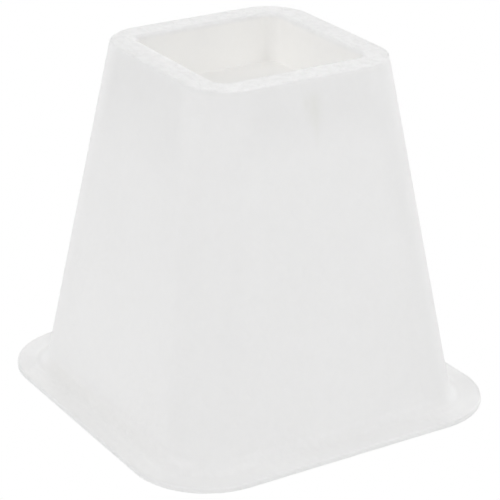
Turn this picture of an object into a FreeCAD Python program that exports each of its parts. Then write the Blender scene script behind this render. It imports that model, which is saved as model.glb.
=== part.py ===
"""Square bed riser, one hollow plastic moulding.

Frame: millimetres, +Z up, origin at the middle of the underside, sides along X and Y.
The four walls lean in towards the top, a square socket for the bed leg is sunk into the
top, and the foot turns out into a flat flange. The inside is open from below: the socket
hangs from the rim as a cup, tied to the four walls by ribs.
"""
import FreeCAD, Part
import os
import math
from FreeCAD import Vector

# ---------------------------------------------------------------- driving dimensions
HEIGHT = 152.4            # whole riser, floor to rim
FLANGE_WIDTH = 165.4      # across the foot flange
FLANGE_THICK = 2.2
FLANGE_CORNER_R = 33.4    # outline corner of the flange
FLANGE_EDGE_R = 0.8       # rounding of the flange's upper edge
FLANGE_LOWER_R = 0.3      # rounding of the flange's lower edge

BASE_WIDTH = 139.8        # walls produced down to the floor
TOP_WIDTH = 94.2          # walls produced up to the rim
BODY_CORNER_R = 20.0      # corner between neighbouring walls
FOOT_FILLET_R = 6.0       # wall into flange, outside
RIM_OUTER_R = 1.2         # rim to wall
RIM_INNER_R = 1.2         # rim to socket

WALL = 2.4                # shell thickness, square to the wall
RIM_THICK = 2.6           # top of the moulding
FOOT_INNER_R = 3.0        # inner wall into the underside of the flange

SOCKET_WIDTH = 70.6       # at the rim
SOCKET_DEPTH = 21.6
SOCKET_DRAFT = 0.65       # each side, over the depth
SOCKET_CORNER_R = 6.0
SOCKET_FLOOR_R = 0.5      # socket wall to socket floor
CUP_WALL = 2.4
CUP_FLOOR = 2.8
CUP_LOWER_R = 2.0         # lower outside edge of the cup
ROOF_R = 1.0              # inside corners under the rim

RIB_THICK = 2.0           # ribs between cup and walls
RIB_OFFSETS = (0.0,)      # along each side, from its middle
RIB_CUP_LIFT = 2.6        # lower edge of a rib, above the cup's underside
RIB_WALL_DROP = 2.3       # lower edge of a rib at the wall, below the cup's underside

# ---------------------------------------------------------------- derived sizes
SLOPE = (BASE_WIDTH - TOP_WIDTH) / 2.0 / HEIGHT      # run of each wall for each mm of rise
LEAN = math.atan(SLOPE)
WALL_RUN = WALL / math.cos(LEAN)                     # wall thickness measured level
FLOOR_Z = HEIGHT - SOCKET_DEPTH                      # socket floor
CUP_Z = FLOOR_Z - CUP_FLOOR                          # underside of the cup
ROOF_Z = HEIGHT - RIM_THICK                          # underside of the rim


def outer_half(z):
    """Half width of the outside of the walls at height z."""
    return BASE_WIDTH / 2.0 - SLOPE * z


def frustum(half_low, z_low, half_high, z_high, corner_r):
    """Square block with leaning flat sides and one corner radius from bottom to top."""
    block = Part.makeWedge(-half_low, z_low, -half_low, -half_high, -half_high,
                           half_low, z_high, half_low, half_high, half_high)
    block.rotate(Vector(0, 0, 0), Vector(1, 0, 0), 90)
    upright = [e for e in block.Edges if abs(e.Vertexes[0].Z - e.Vertexes[1].Z) > 0.5 * (z_high - z_low)]
    return block.makeFillet(corner_r, upright)


def edges_at(shape, z, tol=1e-3):
    """Edges that lie wholly in the level plane z."""
    found = []
    for e in shape.Edges:
        b = e.BoundBox
        if abs(b.ZMin - z) < tol and abs(b.ZMax - z) < tol:
            found.append(e)
    return found


def within(edges, half):
    """Those edges that stay inside a centred square of the given half width."""
    return [e for e in edges
            if max(abs(e.BoundBox.XMin), abs(e.BoundBox.XMax), abs(e.BoundBox.YMin), abs(e.BoundBox.YMax)) < half]


# ---------------------------------------------------------------- outside
body = frustum(BASE_WIDTH / 2.0, 0.0, TOP_WIDTH / 2.0, HEIGHT, BODY_CORNER_R)
body = body.makeFillet(RIM_OUTER_R, edges_at(body, HEIGHT))

hf = FLANGE_WIDTH / 2.0
flange = Part.makeBox(FLANGE_WIDTH, FLANGE_WIDTH, FLANGE_THICK, Vector(-hf, -hf, 0))
flange = flange.makeFillet(FLANGE_CORNER_R, [e for e in flange.Edges if abs(e.Vertexes[0].Z - e.Vertexes[1].Z) > 1.0])
flange = flange.makeFillet(FLANGE_EDGE_R, edges_at(flange, FLANGE_THICK))
flange = flange.makeFillet(FLANGE_LOWER_R, edges_at(flange, 0.0))

outside = body.fuse(flange).removeSplitter()
foot = within(edges_at(outside, FLANGE_THICK), outer_half(FLANGE_THICK) + 0.2)
outside = outside.makeFillet(FOOT_FILLET_R, foot)

# ---------------------------------------------------------------- hollow under the rim
inner_low = outer_half(0.0) - WALL_RUN
inner_high = outer_half(ROOF_Z) - WALL_RUN
inside = frustum(inner_low + SLOPE * 2.0, -2.0, inner_high, ROOF_Z, BODY_CORNER_R - WALL)
inside = inside.makeFillet(ROOF_R, edges_at(inside, ROOF_Z))

cup_top = SOCKET_WIDTH / 2.0 + CUP_WALL
cup_low = cup_top - SOCKET_DRAFT
cup = frustum(cup_low, CUP_Z, cup_top, HEIGHT + 1.0, SOCKET_CORNER_R + CUP_WALL)
cup = cup.makeFillet(CUP_LOWER_R, edges_at(cup, CUP_Z))
hollow = inside.cut(cup)

# ribs from the cup out to each wall, with a lower edge that slopes down to the wall
rib_in = cup_low
rib_out = outer_half(CUP_Z - RIB_WALL_DROP) - WALL_RUN
fall = (RIB_CUP_LIFT + RIB_WALL_DROP) / (rib_out - rib_in)
profile = [(rib_in - 4.0, CUP_Z + RIB_CUP_LIFT + 4.0 * fall), (rib_out + 4.0, CUP_Z - RIB_WALL_DROP - 4.0 * fall),
           (rib_out + 4.0, HEIGHT), (rib_in - 4.0, HEIGHT)]
for off in RIB_OFFSETS:
    for turn in (0, 90, 180, 270):
        pts = [Vector(x, off - RIB_THICK / 2.0, z) for x, z in profile]
        rib = Part.Face(Part.makePolygon(pts + [pts[0]])).extrude(Vector(0, RIB_THICK, 0))
        rib.rotate(Vector(0, 0, 0), Vector(0, 0, 1), turn)
        hollow = hollow.cut(rib)

shell = outside.cut(hollow)

# ---------------------------------------------------------------- socket
socket = frustum(SOCKET_WIDTH / 2.0 - SOCKET_DRAFT, FLOOR_Z, SOCKET_WIDTH / 2.0, HEIGHT, SOCKET_CORNER_R)
socket = socket.makeFillet(SOCKET_FLOOR_R, edges_at(socket, FLOOR_Z))
shell = shell.cut(socket)

rim_edge = within(edges_at(shell, HEIGHT), SOCKET_WIDTH / 2.0 + 0.2)
shell = shell.makeFillet(RIM_INNER_R, rim_edge)
foot_edge = within(edges_at(shell, 0.0), inner_low + 0.2)
shell = shell.makeFillet(FOOT_INNER_R, foot_edge)

# ---------------------------------------------------------------- write out
solids = shell.Solids
print("solids", len(solids), "valid", shell.isValid(), "volume cm3 %.1f" % (shell.Volume / 1000.0))
print("box", shell.optimalBoundingBox(False, False))
print("faces", len(shell.Faces), sorted({f.Surface.TypeId.split("::")[1] for f in shell.Faces}))
os.makedirs("parts", exist_ok=True)
solids[0].exportStep("parts/riser_body.step")
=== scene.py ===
"""Looks of a square plastic bed riser, in metres, in the part's own frame: +Z up, origin under its middle."""
import math

import bmesh
import bpy
import numpy as np
from mathutils import Matrix, Vector


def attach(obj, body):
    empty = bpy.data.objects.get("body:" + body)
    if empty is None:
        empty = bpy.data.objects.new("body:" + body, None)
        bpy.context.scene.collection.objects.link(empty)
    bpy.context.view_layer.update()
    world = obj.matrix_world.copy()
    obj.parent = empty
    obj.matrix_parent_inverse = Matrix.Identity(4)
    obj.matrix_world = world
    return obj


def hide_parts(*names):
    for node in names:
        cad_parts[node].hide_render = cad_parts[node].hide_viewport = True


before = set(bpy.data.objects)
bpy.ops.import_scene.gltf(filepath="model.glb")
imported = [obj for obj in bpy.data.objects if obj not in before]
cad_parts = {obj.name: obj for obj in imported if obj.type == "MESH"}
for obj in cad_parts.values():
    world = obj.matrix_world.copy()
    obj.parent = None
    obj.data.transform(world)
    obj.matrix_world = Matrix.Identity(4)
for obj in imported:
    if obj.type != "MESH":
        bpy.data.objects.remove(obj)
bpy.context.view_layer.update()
scene = bpy.context.scene
MM = 0.001

# ------------------------------------------------------------------ sizes in mm, as in the part
HEIGHT = 152.4
FLANGE_HALF, FLANGE_T, FLANGE_R = 82.7, 2.2, 33.4
FLANGE_EDGE_R, FLANGE_LOWER_R = 0.8, 0.3
BASE_HALF, TOP_HALF, BODY_R = 69.9, 47.1, 20.0
FOOT_R, RIM_OUT_R, RIM_IN_R = 6.0, 1.2, 1.2
WALL, RIM_T, FOOT_IN_R, ROOF_R = 2.4, 2.6, 3.0, 1.0
SOCKET_HALF, SOCKET_DEPTH, SOCKET_DRAFT, SOCKET_R, SOCKET_FLOOR_R = 35.3, 21.6, 0.65, 6.0, 0.5
CUP_WALL, CUP_FLOOR, CUP_LOWER_R = 2.4, 2.8, 2.0
RIB_HALF, RIB_CUP_LIFT, RIB_WALL_DROP = 1.0, 2.6, 2.3

SLOPE = (BASE_HALF - TOP_HALF) / HEIGHT
LEAN = math.atan(SLOPE)
WALL_RUN = WALL / math.cos(LEAN)
FLOOR_Z = HEIGHT - SOCKET_DEPTH
CUP_Z = FLOOR_Z - CUP_FLOOR
ROOF_Z = HEIGHT - RIM_T
CUP_TOP = SOCKET_HALF + CUP_WALL
CUP_LOW = CUP_TOP - SOCKET_DRAFT


def outer(z):
    return BASE_HALF - SLOPE * z


def inner(z):
    return outer(z) - WALL_RUN


def socket(z):
    return SOCKET_HALF - SOCKET_DRAFT * (HEIGHT - z) / SOCKET_DEPTH


def cup(z):
    return CUP_LOW + (CUP_TOP - CUP_LOW) * (z - CUP_Z) / (HEIGHT + 1.0 - CUP_Z)


SOCKET_LEAN = math.atan(SOCKET_DRAFT / SOCKET_DEPTH)
CUP_LEAN = math.atan((CUP_TOP - CUP_LOW) / (HEIGHT + 1.0 - CUP_Z))

# ------------------------------------------------------------------ section of the moulding
# Each ring of the mesh is a level rounded square: half width, corner radius, height, and how much moulded grain it has.
rings = []


def add(w, r, z, grain):
    rings.append((w, r, z, grain))


def span(a, b, n):
    """n steps from a to b, without a itself."""
    return [a + (b - a) * (k + 1) / n for k in range(n)]


def arc(n, a, b):
    return [math.radians(a + (b - a) * k / n) for k in range(n + 1)]


# socket floor edge and wall
zc = FLOOR_Z + SOCKET_FLOOR_R
wc = socket(zc) - SOCKET_FLOOR_R / math.cos(SOCKET_LEAN)
for p in arc(5, 90, math.degrees(SOCKET_LEAN)):
    w, z = wc + SOCKET_FLOOR_R * math.cos(p), zc - SOCKET_FLOOR_R * math.sin(p)
    add(w, SOCKET_R - (socket(z) - w), z, 0.12)
zc = HEIGHT - RIM_IN_R
wc = socket(zc) + RIM_IN_R / math.cos(SOCKET_LEAN)
z_low, z_high = rings[-1][2], zc + RIM_IN_R * math.sin(SOCKET_LEAN)
for z in span(z_low, z_high, 14)[:-1]:
    add(socket(z), SOCKET_R, z, 0.12)
SOCKET_LAST = len(rings)
# inner edge of the rim
for p in arc(8, math.degrees(SOCKET_LEAN), 90):
    w, z = wc - RIM_IN_R * math.cos(p), zc + RIM_IN_R * math.sin(p)
    add(w, SOCKET_R + max(0.0, w - socket(z)), z, 0.6)
RIM_FIRST = len(rings)
# rim
w_in, r_in = rings[-1][0], rings[-1][1]
zc = HEIGHT - RIM_OUT_R
wc = outer(zc) - RIM_OUT_R / math.cos(LEAN)
r_out = BODY_R - (outer(HEIGHT) - wc)
for w in span(w_in, wc, 15)[:-1]:
    add(w, r_in + (r_out - r_in) * (w - w_in) / (wc - w_in), HEIGHT, 1.1)
# outer edge of the rim
for p in arc(8, 90, math.degrees(LEAN)):
    w, z = wc + RIM_OUT_R * math.cos(p), zc + RIM_OUT_R * math.sin(p)
    add(w, BODY_R - (outer(z) - w), z, 0.25 + 0.85 * max(0.0, math.sin(p)) ** 2)
# outside of the walls, finer near the rim
OUT_FIRST = len(rings)
zc = FLANGE_T + FOOT_R
wc = outer(zc) + FOOT_R / math.cos(LEAN)
z_foot = zc - FOOT_R * math.sin(LEAN)
z_top = rings[-1][2]
for z in span(z_top, 118.0, 32) + span(118.0, z_foot, 34)[:-1]:
    add(outer(z), BODY_R, z, 0.2)
OUT_LAST = len(rings)
# foot turning out into the flange
spread = (FLANGE_R - BODY_R) / (FLANGE_HALF - outer(FLANGE_T))
for p in arc(11, math.degrees(LEAN), 90):
    w, z = wc - FOOT_R * math.cos(p), zc - FOOT_R * math.sin(p)
    add(w, BODY_R + spread * (w - outer(z)), z, 0.2 + 0.1 * (z_foot - z) / (z_foot - FLANGE_T))
w_in, r_in = rings[-1][0], rings[-1][1]
w_edge, r_edge = FLANGE_HALF - FLANGE_EDGE_R, FLANGE_R - FLANGE_EDGE_R
for w in span(w_in, w_edge, 7)[:-1]:
    add(w, r_in + (r_edge - r_in) * (w - w_in) / (w_edge - w_in), FLANGE_T, 0.3)
FLANGE_LAST = len(rings)
# flange edge
for p in arc(6, 90, 0):
    add(w_edge + FLANGE_EDGE_R * math.cos(p), r_edge + FLANGE_EDGE_R * math.cos(p), FLANGE_T - FLANGE_EDGE_R + FLANGE_EDGE_R * math.sin(p), 0.4)
add(FLANGE_HALF, FLANGE_R, 0.85, 0.4)
for p in arc(3, 0, 90):
    o = FLANGE_LOWER_R * (1 - math.cos(p))
    add(FLANGE_HALF - o, FLANGE_R - o, FLANGE_LOWER_R * (1 - math.sin(p)), 0.4)
UNDER_FIRST = len(rings)
# underside of the flange, and its turn up into the hollow
zc = FOOT_IN_R
wc = inner(zc) + FOOT_IN_R / math.cos(LEAN)
r_body_in = BODY_R - WALL
w_in, r_in = rings[-1][0], rings[-1][1]
r_turn = r_body_in + (wc - inner(0.0))
for w in span(w_in, wc, 6)[:-1]:
    add(w, r_in + (r_turn - r_in) * (w - w_in) / (wc - w_in), 0.0, 0.2)
for p in arc(6, 0, 90 - math.degrees(LEAN)):
    w, z = wc - FOOT_IN_R * math.sin(p), zc - FOOT_IN_R * math.cos(p)
    add(w, r_body_in + max(0.0, w - inner(z)), z, 0.2)
# inside of the walls up to the foot of the ribs, then level with the cup's own rings
z_rib_wall = CUP_Z - RIB_WALL_DROP
z_rib_cup = CUP_Z + RIB_CUP_LIFT
for z in span(rings[-1][2], z_rib_wall, 30):
    add(inner(z), r_body_in, z, 0.2)
RIB_WALL = len(rings) - 1
LEVELS = 7
zc = ROOF_Z - ROOF_R
z_roof_wall = zc + ROOF_R * math.sin(LEAN)
for z in span(z_rib_wall, z_roof_wall, LEVELS)[:-1]:
    add(inner(z), r_body_in, z, 0.2)
wc = inner(zc) - ROOF_R / math.cos(LEAN)
for p in arc(4, math.degrees(LEAN), 90):
    w, z = wc + ROOF_R * math.cos(p), zc + ROOF_R * math.sin(p)
    add(w, r_body_in - (inner(z) - w), z, 0.2)
w_in, r_in = rings[-1][0], rings[-1][1]
cup_r = SOCKET_R + CUP_WALL
for w in span(w_in, cup(ROOF_Z), 4)[:-1]:
    add(w, r_in + (cup_r - r_in) * (w - w_in) / (cup(ROOF_Z) - w_in), ROOF_Z, 0.2)
for z in [ROOF_Z] + span(ROOF_Z, z_rib_cup, LEVELS):
    add(cup(z), cup_r, z, 0.2)
RIB_CUP = len(rings) - 1
zc = CUP_Z + CUP_LOWER_R
wc = cup(zc) - CUP_LOWER_R / math.cos(CUP_LEAN)
for p in arc(6, math.degrees(CUP_LEAN), 90):
    w, z = wc + CUP_LOWER_R * math.cos(p), zc - CUP_LOWER_R * math.sin(p)
    add(w, cup_r - (cup(z) - w), z, 0.2)

# ------------------------------------------------------------------ sweep of the section round the four sides
HALF_RUN, CORNER = 28, 24                    # steps in half a side, and in a corner
SIDE = 2 * HALF_RUN + CORNER + 2             # columns of each side with its corner
COLS = 4 * SIDE


def ring_points(w, r):
    c = w - r
    step = [RIB_HALF + (c - RIB_HALF) * (j / HALF_RUN) ** 1.25 for j in range(HALF_RUN + 1)]
    run = [-s for s in reversed(step)] + [0.0] + step
    side = [(w, s) for s in run]
    side += [(c + r * math.cos(a), c + r * math.sin(a)) for a in arc(CORNER, 0, 90)[1:-1]]
    pts = []
    for k in range(4):
        ca, sa = round(math.cos(k * math.pi / 2)), round(math.sin(k * math.pi / 2))
        pts += [(ca * x - sa * y, sa * x + ca * y) for x, y in side]
    return np.array(pts)


points = np.array([np.c_[ring_points(w, r), np.full(COLS, z)] for w, r, z, g in rings])      # ring, column, xyz
grain = np.repeat(np.array([g for w, r, z, g in rings])[:, None], COLS, 1)

# faint sink over the rib behind the middle of one wall (-Y), a soft upright hollow
mark = np.zeros(points.shape[:2])
for i in range(OUT_FIRST, OUT_LAST):
    z = rings[i][2]
    rise = 1 / (1 + math.exp(-(146.2 - z) / 0.9)) / (1 + math.exp(-(z - 134.0) / 1.6))
    tail = 0.34 / (1 + math.exp(-(136.0 - z) / 1.5)) / (1 + math.exp(-(z - 125.5) / 1.2))
    for j in range(3 * SIDE, 3 * SIDE + 2 * HALF_RUN + 3):
        x = points[i, j, 0]
        core = 0.82 * math.exp(-((x - 0.1) / 2.7) ** 2) + 0.26 * math.exp(-((x - 2.6) / 2.8) ** 2)
        lobe = 0.55 * math.exp(-((x + 3.5) / 1.3) ** 2) * math.exp(-((z - 142.4) / 3.2) ** 2)
        mark[i, j] = min(1.0, rise * core + lobe + tail * math.exp(-((x - 0.9) / 1.1) ** 2))
points[:, :, 1] += 0.14 * mark * math.cos(LEAN)
points[:, :, 2] -= 0.14 * mark * math.sin(LEAN)

verts = points.reshape(-1, 3)
n_rings = len(rings)
vid = np.arange(n_rings * COLS).reshape(n_rings, COLS)
faces = []
rib_cols = set()
for k in range(4):
    rib_cols |= {k * SIDE + HALF_RUN, k * SIDE + HALF_RUN + 1}
for i in range(n_rings - 1):
    for j in range(COLS):
        if RIB_WALL <= i < RIB_CUP and j in rib_cols:
            continue
        k = (j + 1) % COLS
        faces.append((vid[i, j], vid[i + 1, j], vid[i + 1, k], vid[i, k]))
for k in range(4):                           # ribs between walls and cup
    a, m, b = (k * SIDE + HALF_RUN + s for s in (0, 1, 2))
    for col, turn in ((a, 1), (b, -1)):
        for t in range(LEVELS):
            faces.append((vid[RIB_WALL + t, col], vid[RIB_WALL + t + 1, col], vid[RIB_CUP - t - 1, col], vid[RIB_CUP - t, col])[::turn])
        faces.append(tuple(vid[q, col] for q in range(RIB_WALL + LEVELS, RIB_CUP - LEVELS + 1))[::turn])
    for p, q in ((a, m), (m, b)):
        faces.append((vid[RIB_WALL, p], vid[RIB_CUP, p], vid[RIB_CUP, q], vid[RIB_WALL, q]))


def cap(ring, up):
    """Even grid across a level ring, from its four corner middles."""
    global verts
    edge = vid[ring]
    corner = [k * SIDE + 2 * HALF_RUN + 2 + CORNER // 2 for k in range(4)]

    def walk(k):
        return [edge[(corner[k] + s) % COLS] for s in range(SIDE + 1)]
    low, right, top, left = walk(2), walk(3), walk(0)[::-1], walk(1)[::-1]
    ids = np.zeros((SIDE + 1, SIDE + 1), int)
    ids[:, 0], ids[:, -1], ids[0, :], ids[-1, :] = low, top, left, right
    P = lambda ix: verts[ix][:, :2]
    u = np.linspace(0, 1, SIDE + 1)
    L, R, B, T = P(left), P(right), P(low), P(top)
    new = []
    base = len(verts)
    for i in range(1, SIDE):
        for j in range(1, SIDE):
            s, t = u[i], u[j]
            p = (1 - s) * L[j] + s * R[j] + (1 - t) * B[i] + t * T[i] - ((1 - s) * (1 - t) * B[0] + s * (1 - t) * B[-1] + (1 - s) * t * T[0] + s * t * T[-1])
            ids[i, j] = base + len(new)
            new.append((p[0], p[1], rings[ring][2]))
    verts = np.vstack([verts, np.array(new)])
    for i in range(SIDE):
        for j in range(SIDE):
            f = (ids[i, j], ids[i + 1, j], ids[i + 1, j + 1], ids[i, j + 1])
            faces.append(f if up else f[::-1])
    return len(new)


n_floor = cap(0, True)
n_under = cap(n_rings - 1, False)
zone = np.zeros(points.shape[:2])
zone[:SOCKET_LAST] = 1.0 - 0.45 * np.clip((points[:SOCKET_LAST, :, 0] - 30.0) / 4.0, 0, 1) * np.clip((15.0 - points[:SOCKET_LAST, :, 1]) / 40.0, 0, 1)
socket_all = np.concatenate([zone.ravel(), np.ones(n_floor), np.zeros(n_under)])


def ease(v, low, high):
    t = np.clip((v - low) / (high - low), 0, 1)
    return t * t * (3 - 2 * t)


def bell(v, middle, width):
    return np.exp(-((v - middle) / width) ** 2)


# painted light and shade in the white, fixed to the part: painted shade of the cup showing through the walls near the
# top, painted light and shade over the walls, foot, flange edge, rim and socket, and painted highlights along some
# edges
painted_light_and_shade = np.zeros(points.shape[:2])
px, py, Z = points[:, :, 0], points[:, :, 1], points[:, :, 2]
X, Y = np.abs(px), np.abs(py)
corner_at = np.minimum(X, Y) / (BASE_HALF - SLOPE * Z - BODY_R)              # 1 where a wall meets its corner
on_flat = ease(-corner_at, -1.16, -0.86)
outside = slice(OUT_FIRST, FLANGE_LAST)
# flat walls: painted light low down, painted shade of the cup through the wall from about 102 mm up, and on the -Y side
# painted shade towards +X low down
side_x = 0.017 - 0.026 * ease(Z, 10, 105) - 0.041 * ease(Z, 102, 142)
side_y = 0.010 - 0.006 * ease(Z, 10, 100) - 0.041 * ease(Z, 116, 142) - 0.022 * ease(px, -10, 60) * ease(-Z, -95, -30)
front, at_left, at_right = (px < 0) & (py < 0), (px < 0) & (py > 0), (px > 0) & (py < 0)
c_ring = np.array([w - r for w, r, z, g in rings])[:, None]                  # where each ring's corners begin
w_ring = np.array([w for w, r, z, g in rings])[:, None]
turned = np.degrees(np.arctan2(np.maximum(X - c_ring, 0), np.maximum(Y - c_ring, 1e-6)))          # 0 facing along Y, 90 along X
# corners: painted shade near the top of the front corner, painted light on the left corner, and painted light and shade
# across the right corner low down
corner_shade = -0.003 - 0.005 * ease(Z, 60, 110) - front * 0.011 * ease(Z, 138, 146) + at_left * (0.010 + 0.010 * ease(-turned, -80, -55))
corner_shade = corner_shade + at_right * ease(-Z, -100, -60) * (0.020 * bell(turned, 62, 16) - 0.015 * bell(turned, 20, 16))
lower = ease(Z, 4.0, 10.0)                                                   # these start above the foot
# foot of the flat walls: painted light low on the wall and fillet, a painted lighter flange top on the X sides and a
# darker one on the Y sides, darker still towards +X on the -Y side
foot_x = 0.009 * ease(-Z, -2.6, -2.3) + 0.004 * bell(Z, 8.5, 2.5)
foot_y = 0.011 * bell(Z, 8.2, 2.6) + 0.004 * bell(Z, 13.0, 5.0) + 0.009 * bell(Z, 3.6, 0.9) - 0.014 * ease(-Z, -2.6, -2.3)
foot_y = foot_y - 0.012 * ease(px, 15, 50) * ease(-Z, -2.6, -2.3) * (py < 0)
# foot of the corners: painted shade in the fillet of the front corner with painted light above it, painted light in the
# crease of the left and right corners towards the far sides, and painted light and shade on the flange top there
foot_corner = np.where(front, -0.030 * bell(Z, 4.8, 1.5) + 0.014 * bell(Z, 9.0, 3.5) + 0.007 * bell(Z, 14.0, 4.0), 0.008 * bell(Z, 6.0, 3.0))
past = np.where(at_left, Y - X, X - Y)                                       # towards the far sides, where the turn of the foot is paler
crease, flat_top = bell(w_ring, 72.7, 2.3), ease(w_ring, 74.0, 76.0)
foot_corner = foot_corner + front * 0.012 * flat_top + at_left * (0.084 * bell(w_ring, 73.0, 1.8) * ease(past, -12, 1) - 0.024 * bell(w_ring, 70.4, 1.5) * bell(past, -5, 9) + flat_top * (0.046 * ease(past, -8, 12) - 0.030) - 0.022 * bell(Z, 3.8, 1.6) * ease(-past, 3, 13))
foot_corner = foot_corner + at_right * (0.035 * crease * ease(past, -6, 8) + flat_top * (0.010 * ease(past, -2, 10) - 0.006) - 0.016 * bell(turned, 12, 20) * bell(Z, 6.0, 4.0)
                                       - 0.024 * ease(w_ring, 76.0, 82.0) * ease(-past, -6, 14))
flat_shade = np.where(X > Y, side_x * lower + foot_x, side_y * lower + foot_y)
corner_shade = corner_shade * lower + foot_corner
walls = corner_shade + (flat_shade - corner_shade) * on_flat
painted_light_and_shade[outside] = walls[outside]
# flange edge: painted shade on its upper rounding on the -X side and towards +X on the -Y side, and painted light low
# on the edge at the front corner
edge = ease(-Z, -FLANGE_T, -0.2)[FLANGE_LAST:UNDER_FIRST]
straight = ease(-np.minimum(X, Y), -62, -46)
flange_edge = front * (1 - straight) - 0.35 * ease(px, 10, 75) * ease(-py, 30, 70)
painted_light_and_shade[FLANGE_LAST:UNDER_FIRST] = (-0.010 - 0.020 * bell(Z, 1.8, 0.5) * ease(X - Y, 0, 25) * (px < 0))[FLANGE_LAST:UNDER_FIRST] + 0.052 * edge * flange_edge[FLANGE_LAST:UNDER_FIRST]
W = np.maximum(X, Y)
facing = ease((X - Y) / W, -0.16, 0.16)                                       # 0 on the Y sides, 1 on the X sides, blended over the corners
left, far_right = facing * (px < 0), facing * (px > 0)
right, far_left = (1 - facing) * (py < 0), (1 - facing) * (py > 0)
# rim: painted light over the whole top, a painted highlight by the inner edge on the -X side, painted light and shade
# by side across its width, and over its outer edge it goes down to the walls' painted tone, with painted light on the
# far sides
rim = 0.034 + left * (0.032 * ease(-W, -38.2, -36.8) - 0.012 * ease(W, 38, 43) - 0.022 * ease(W, 45.6, 46.8)) + right * (0.018 + 0.026 * ease(W, 42, 46) - 0.022 * ease(W, 46.2, 47))
rim = rim + far_left * (0.012 - 0.022 * ease(W, 40, 44)) + far_right * (0.010 - 0.024 * ease(W, 40, 44.5))
rim = rim + (walls + 0.013 * right - 0.030 * front * (1 - on_flat) + 0.045 * (far_left + far_right) - rim) * ease(-Z, -152.36, -151.75)      # down to the walls' tone over its outer edge
painted_light_and_shade[RIM_FIRST:OUT_FIRST] = rim[RIM_FIRST:OUT_FIRST]
# inner edge of the rim: a painted highlight along the -X side
painted_light_and_shade[SOCKET_LAST:RIM_FIRST] = (-0.008 + 0.083 * left)[SOCKET_LAST:RIM_FIRST]
# inside the socket: painted shade low in one corner, painted light on either side of it, and milder painted light and
# shade over the rest of the walls
on_y = ease(py, 31.0, 34.0) * ease(-px, -33.5, -31.0)
on_x = ease(px, 31.0, 34.0) * ease(-py, -33.5, -31.0)
socket_light_and_shade = on_y * (-0.030 * bell(px, 30.0, 5.0) * ease(-Z, -142, -132) + 0.018 * bell(px, 20.0, 6.0) * bell(Z, 133.0, 5.0) - 0.006 * bell(px, 0.0, 12.0) - 0.012 * ease(-px, 4.0, 26.0) + 0.010 * bell(px, 15.0, 9.0) - 0.003)
socket_light_and_shade += on_x * (0.018 * bell(py, 31.0, 6.0) * bell(Z, 132.0, 7.0) - 0.010 * ease(-py, -22.0, 15.0) + 0.005)
painted_light_and_shade[:SOCKET_LAST] = socket_light_and_shade[:SOCKET_LAST]
# a small painted shade spot at the inner edge of the socket's -X/+Y corner
painted_light_and_shade[SOCKET_LAST - 2:RIM_FIRST] -= (0.06 * bell(px, -32.6, 2.4) * bell(py, 35.2, 2.0))[SOCKET_LAST - 2:RIM_FIRST]
# darker, slightly yellow marks: the upright streak over the rib, and painted shade in the crease of the foot along the
# two X sides
streak_and_crease_shade = mark.copy()
crease_shade = np.where(X > Y, (0.20 + 0.40 * ease(py, -50, 50)) * bell(Z, 4.0, 1.8) * on_flat, 0.0)
streak_and_crease_shade[outside] += crease_shade[outside]
streak_and_crease_shade_all = np.concatenate([streak_and_crease_shade.ravel(), np.zeros(n_floor + n_under)])
# shallower grain on the outer edge of the rim on the two far sides, and in the foot of two corners
shallow = np.clip(ease(-Z, -152.39, -152.1) * ease(Z, 150.4, 151.0) * (far_left + far_right) + bell(Z, 4.5, 3.0) * (at_left | at_right) * (1 - on_flat), 0, 1)
grain[RIM_FIRST:FLANGE_LAST] *= (1 - 0.8 * shallow)[RIM_FIRST:FLANGE_LAST]
grain_all = np.concatenate([grain.ravel(), np.full(n_floor, 0.12), np.full(n_under, 0.2)])
# the socket floor gets painted shade, darker towards +X
painted_light_and_shade_all = np.concatenate([painted_light_and_shade.ravel(), -0.022 - 0.022 * ease(verts[len(verts) - n_floor - n_under:len(verts) - n_under, 0], 2.0, 30.0), np.zeros(n_under)])

mesh = bpy.data.meshes.new("riser_shell")
mesh.from_pydata((verts * MM).tolist(), [], [tuple(int(v) for v in f) for f in faces])
for name, values in (("grain", grain_all), ("streak_and_crease_shade", streak_and_crease_shade_all), ("socket", socket_all), ("painted_light_and_shade", painted_light_and_shade_all)):
    mesh.attributes.new(name, "FLOAT", "POINT").data.foreach_set("value", values.astype(np.float32))
bm = bmesh.new()
bm.from_mesh(mesh)
bmesh.ops.delete(bm, geom=[v for v in bm.verts if not v.link_faces], context="VERTS")
bmesh.ops.recalc_face_normals(bm, faces=bm.faces)
open_edges = sum(1 for e in bm.edges if len(e.link_faces) != 2)
print("riser mesh: %d faces, %d triangles, %d open edges, volume %.1f cm3" % (
    len(bm.faces), sum(len(f.verts) - 2 for f in bm.faces), open_edges, bm.calc_volume() * 1e6))
bm.to_mesh(mesh)
bm.free()
mesh.polygons.foreach_set("use_smooth", [True] * len(mesh.polygons))
mesh.set_sharp_from_angle(angle=math.radians(35))
riser = bpy.data.objects.new("riser_shell", mesh)
scene.collection.objects.link(riser)

# ------------------------------------------------------------------ moulded plastic
mat = bpy.data.materials.new("white_moulded_plastic")
mat.use_nodes = True
nt = mat.node_tree
bsdf = nt.nodes["Principled BSDF"]
bsdf.inputs["IOR"].default_value = 1.49


def node(kind, inputs=None, **settings):
    """New node: its settings by name, and its sockets from values or from other nodes' outputs."""
    n = nt.nodes.new(kind)
    for k, v in settings.items():
        setattr(n, k, v)
    for k, v in (inputs or {}).items():
        if isinstance(v, bpy.types.NodeSocket):
            nt.links.new(v, n.inputs[k])
        else:
            n.inputs[k].default_value = v
    return n


def math_node(op, a, b=0.0, c=0.0):
    return node("ShaderNodeMath", {0: a, 1: b, 2: c}, operation=op).outputs[0]


def span_node(value, low, high, to_low=0.0, to_high=1.0, kind="SMOOTHSTEP"):
    return node("ShaderNodeMapRange", {"Value": value, "From Min": low, "From Max": high, "To Min": to_low, "To Max": to_high},
                interpolation_type=kind).outputs["Result"]


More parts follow.
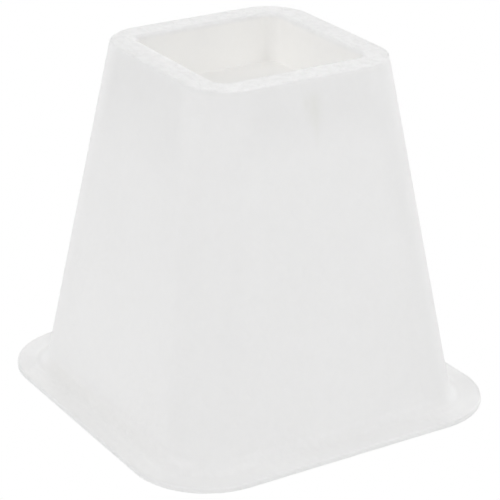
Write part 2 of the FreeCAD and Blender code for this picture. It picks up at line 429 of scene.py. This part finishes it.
def tint(colour, amount, other):
    """Mix towards another colour by an amount from 0 to 1."""
    n = node("ShaderNodeMix", {0: amount}, data_type="RGBA")
    nt.links.new(colour, n.inputs[6])
    n.inputs[7].default_value = other
    return n.outputs[2]


place_at = node("ShaderNodeTexCoord").outputs["Object"]
grain_at = node("ShaderNodeAttribute", attribute_name="grain").outputs["Fac"]
streak_and_crease_shade_at = node("ShaderNodeAttribute", attribute_name="streak_and_crease_shade").outputs["Fac"]
socket_at = node("ShaderNodeAttribute", attribute_name="socket").outputs["Fac"]
painted_light_and_shade_at = node("ShaderNodeAttribute", attribute_name="painted_light_and_shade").outputs["Fac"]

# faint cloudiness of the white, larger than the grain
cloud = node("ShaderNodeTexNoise", {"Vector": place_at, "Scale": 34.0, "Detail": 3.0, "Roughness": 0.55, "Distortion": 0.4}).outputs["Fac"]
fleck = node("ShaderNodeTexNoise", {"Vector": place_at, "Scale": 260.0, "Detail": 2.0, "Roughness": 0.6}).outputs["Fac"]
white = node("ShaderNodeValToRGB", {"Fac": math_node("MULTIPLY_ADD", fleck, 0.35, math_node("MULTIPLY", cloud, 0.65))})
white.color_ramp.elements[0].position, white.color_ramp.elements[0].color = 0.30, (0.914, 0.912, 0.909, 1)
white.color_ramp.elements[1].position, white.color_ramp.elements[1].color = 0.70, (0.928, 0.926, 0.924, 1)
colour = white.outputs["Color"]
# the socket is slightly yellowed, in soft patches
patch = node("ShaderNodeTexNoise", {"Vector": place_at, "Scale": 62.0, "Detail": 2.0, "Roughness": 0.55}).outputs["Fac"]
colour = tint(colour, math_node("MULTIPLY", socket_at, span_node(patch, 0.25, 0.75, 0.65, 1.0)), (0.954, 0.947, 0.931, 1))
# painted light and shade from the attribute, with an uneven edge
waver = node("ShaderNodeTexNoise", {"Vector": place_at, "Scale": 46.0, "Detail": 2.0, "Roughness": 0.5}).outputs["Fac"]
veil = math_node("MULTIPLY_ADD", painted_light_and_shade_at, span_node(waver, 0.3, 0.7, 0.86, 1.14), 1.0)
scaled = node("ShaderNodeVectorMath", {0: colour}, operation="SCALE")
nt.links.new(veil, scaled.inputs["Scale"])
colour = scaled.outputs[0]
# darker, slightly yellow upright streak over the rib behind one wall, and painted shade in the crease of the foot
colour = tint(colour, math_node("MULTIPLY", streak_and_crease_shade_at, span_node(fleck, 0.3, 0.7, 0.75, 1.0)), (0.850, 0.848, 0.826, 1))

# grain from the mould: rounded pebbles with a finer tooth, with painted shade between the pebbles
pebble = node("ShaderNodeTexNoise", {"Vector": place_at, "Scale": 310.0, "Detail": 1.5, "Roughness": 0.45, "Distortion": 0.4}).outputs["Fac"]
tooth = node("ShaderNodeTexNoise", {"Vector": place_at, "Scale": 1150.0, "Detail": 1.0, "Roughness": 0.5}).outputs["Fac"]
relief = math_node("MULTIPLY_ADD", tooth, 0.16, pebble)
grain_hollow_shade = math_node("MULTIPLY", span_node(relief, 0.46, 0.70, 1.0, 0.0, "LINEAR"), grain_at)
colour = tint(colour, math_node("MULTIPLY", grain_hollow_shade, 0.36), (0.860, 0.858, 0.855, 1))
nt.links.new(colour, bsdf.inputs["Base Color"])
level_relief = math_node("SUBTRACT", relief, 0.58)                           # level on average, so nothing tilts where the grain fades
bump = node("ShaderNodeBump", {"Height": math_node("MULTIPLY", level_relief, grain_at), "Strength": 1.0, "Distance": 0.0010})
nt.links.new(bump.outputs["Normal"], bsdf.inputs["Normal"])
gloss = math_node("MULTIPLY_ADD", math_node("SUBTRACT", fleck, 0.5), 0.10, span_node(grain_at, 0.0, 1.0, 0.38, 0.48, "LINEAR"))
nt.links.new(gloss, bsdf.inputs["Roughness"])
mesh.materials.append(mat)

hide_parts("riser_body")
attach(riser, "root")

# ------------------------------------------------------------------ floor
floor_mesh = bpy.data.meshes.new("floor")
floor_mesh.from_pydata([(-6, -6, 0), (6, -6, 0), (6, 6, 0), (-6, 6, 0)], [], [(0, 1, 2, 3)])
floor = bpy.data.objects.new("floor", floor_mesh)
scene.collection.objects.link(floor)
fmat = bpy.data.materials.new("pale_floor")
fmat.use_nodes = True
fb = fmat.node_tree.nodes["Principled BSDF"]
fb.inputs["Base Color"].default_value = (0.9, 0.9, 0.9, 1)
fb.inputs["Roughness"].default_value = 0.9
ft = fmat.node_tree                                  # overexposed to plain white in the picture, so no shadow shows on it
glow, pick, ray = ft.nodes.new("ShaderNodeEmission"), ft.nodes.new("ShaderNodeMixShader"), ft.nodes.new("ShaderNodeLightPath")
glow.inputs["Color"].default_value = (1, 1, 1, 1)
glow.inputs["Strength"].default_value = 1.0
ft.links.new(ray.outputs["Is Camera Ray"], pick.inputs[0])
ft.links.new(fb.outputs[0], pick.inputs[1])
ft.links.new(glow.outputs[0], pick.inputs[2])
ft.links.new(pick.outputs[0], ft.nodes["Material Output"].inputs["Surface"])
floor_mesh.materials.append(fmat)

# ------------------------------------------------------------------ camera at the photograph's angle
UNIT = 152.4 / 1.842933 * MM
YAW, PITCH, ROLL = 0.560489, 0.407474, 0.008273
TX, TY, TZ, FOCAL = -0.022925, 0.680625, 11.277447, 2126.549
cy, sy, cp, sp, cr, sr = math.cos(YAW), math.sin(YAW), math.cos(PITCH), math.sin(PITCH), math.cos(ROLL), math.sin(ROLL)
turn = np.array([[cr, -sr, 0], [sr, cr, 0], [0, 0, 1]]) @ np.array([[1, 0, 0], [0, -sp, -cp], [0, cp, -sp]]) @ np.array([[cy, -sy, 0], [sy, cy, 0], [0, 0, 1]])
place = -turn.T @ np.array([TX, TY, TZ]) * UNIT
cam_data = bpy.data.cameras.new("camera")
cam_data.sensor_fit = "HORIZONTAL"
cam_data.sensor_width = 36.0
cam_data.lens = FOCAL * 36.0 / 500.0
cam_data.clip_start, cam_data.clip_end = 0.05, 50.0
cam = bpy.data.objects.new("camera", cam_data)
m = Matrix.Identity(4)
for r in range(3):
    m[r][0], m[r][1], m[r][2], m[r][3] = turn[0][r], -turn[1][r], -turn[2][r], place[r]
cam.matrix_world = m
scene.collection.objects.link(cam)
scene.camera = cam

# ------------------------------------------------------------------ plain soft studio light
# A ring of large round soft lights about the object: degrees round from the camera, degrees up, watts.
for n, (around, up, watts) in enumerate((
        (300, 32, 9.0), (30, 32, 6.6), (60, 14, 4.7), (270, 14, 2.7), (135, 14, 4.0), (180, 14, 2.75), (225, 14, 4.0),
        (135, 32, 2.3), (180, 32, 1.95), (90, 55, 1.55), (0, 75, 2.4), (180, 75, 2.7))):
    a, e = math.radians(around) - YAW, math.radians(up)
    aim = Vector((math.sin(a) * math.cos(e), -math.cos(a) * math.cos(e), math.sin(e)))
    lamp = bpy.data.lights.new("soft_%02d" % n, "AREA")
    lamp.shape, lamp.size, lamp.energy = "DISK", 1.0, watts
    lamp_obj = bpy.data.objects.new("soft_%02d" % n, lamp)
    lamp_obj.location = Vector((0, 0, 0.08)) + aim * 1.6
    lamp_obj.rotation_mode = "QUATERNION"
    lamp_obj.rotation_quaternion = aim.to_track_quat("Z", "Y")
    lamp_obj.visible_camera = False
    scene.collection.objects.link(lamp_obj)
world = bpy.data.worlds.new("studio")
scene.world = world
world.use_nodes = True
wt = world.node_tree
seen = wt.nodes.new("ShaderNodeLightPath")
level = wt.nodes.new("ShaderNodeMapRange")           # white where the camera looks past the floor, a low fill for everything else
level.inputs["To Min"].default_value, level.inputs["To Max"].default_value = 0.12, 1.0
wt.links.new(seen.outputs["Is Camera Ray"], level.inputs["Value"])
wt.nodes["Background"].inputs["Color"].default_value = (1, 1, 1, 1)
wt.links.new(level.outputs["Result"], wt.nodes["Background"].inputs["Strength"])
scene.cycles.use_denoising = True
scene.cycles.diffuse_bounces = 10                     # a white socket passes light on many times
scene.view_settings.view_transform = "Standard"
scene.view_settings.look = "None"
scene.view_settings.exposure = 0.0
scene.view_settings.gamma = 1.0
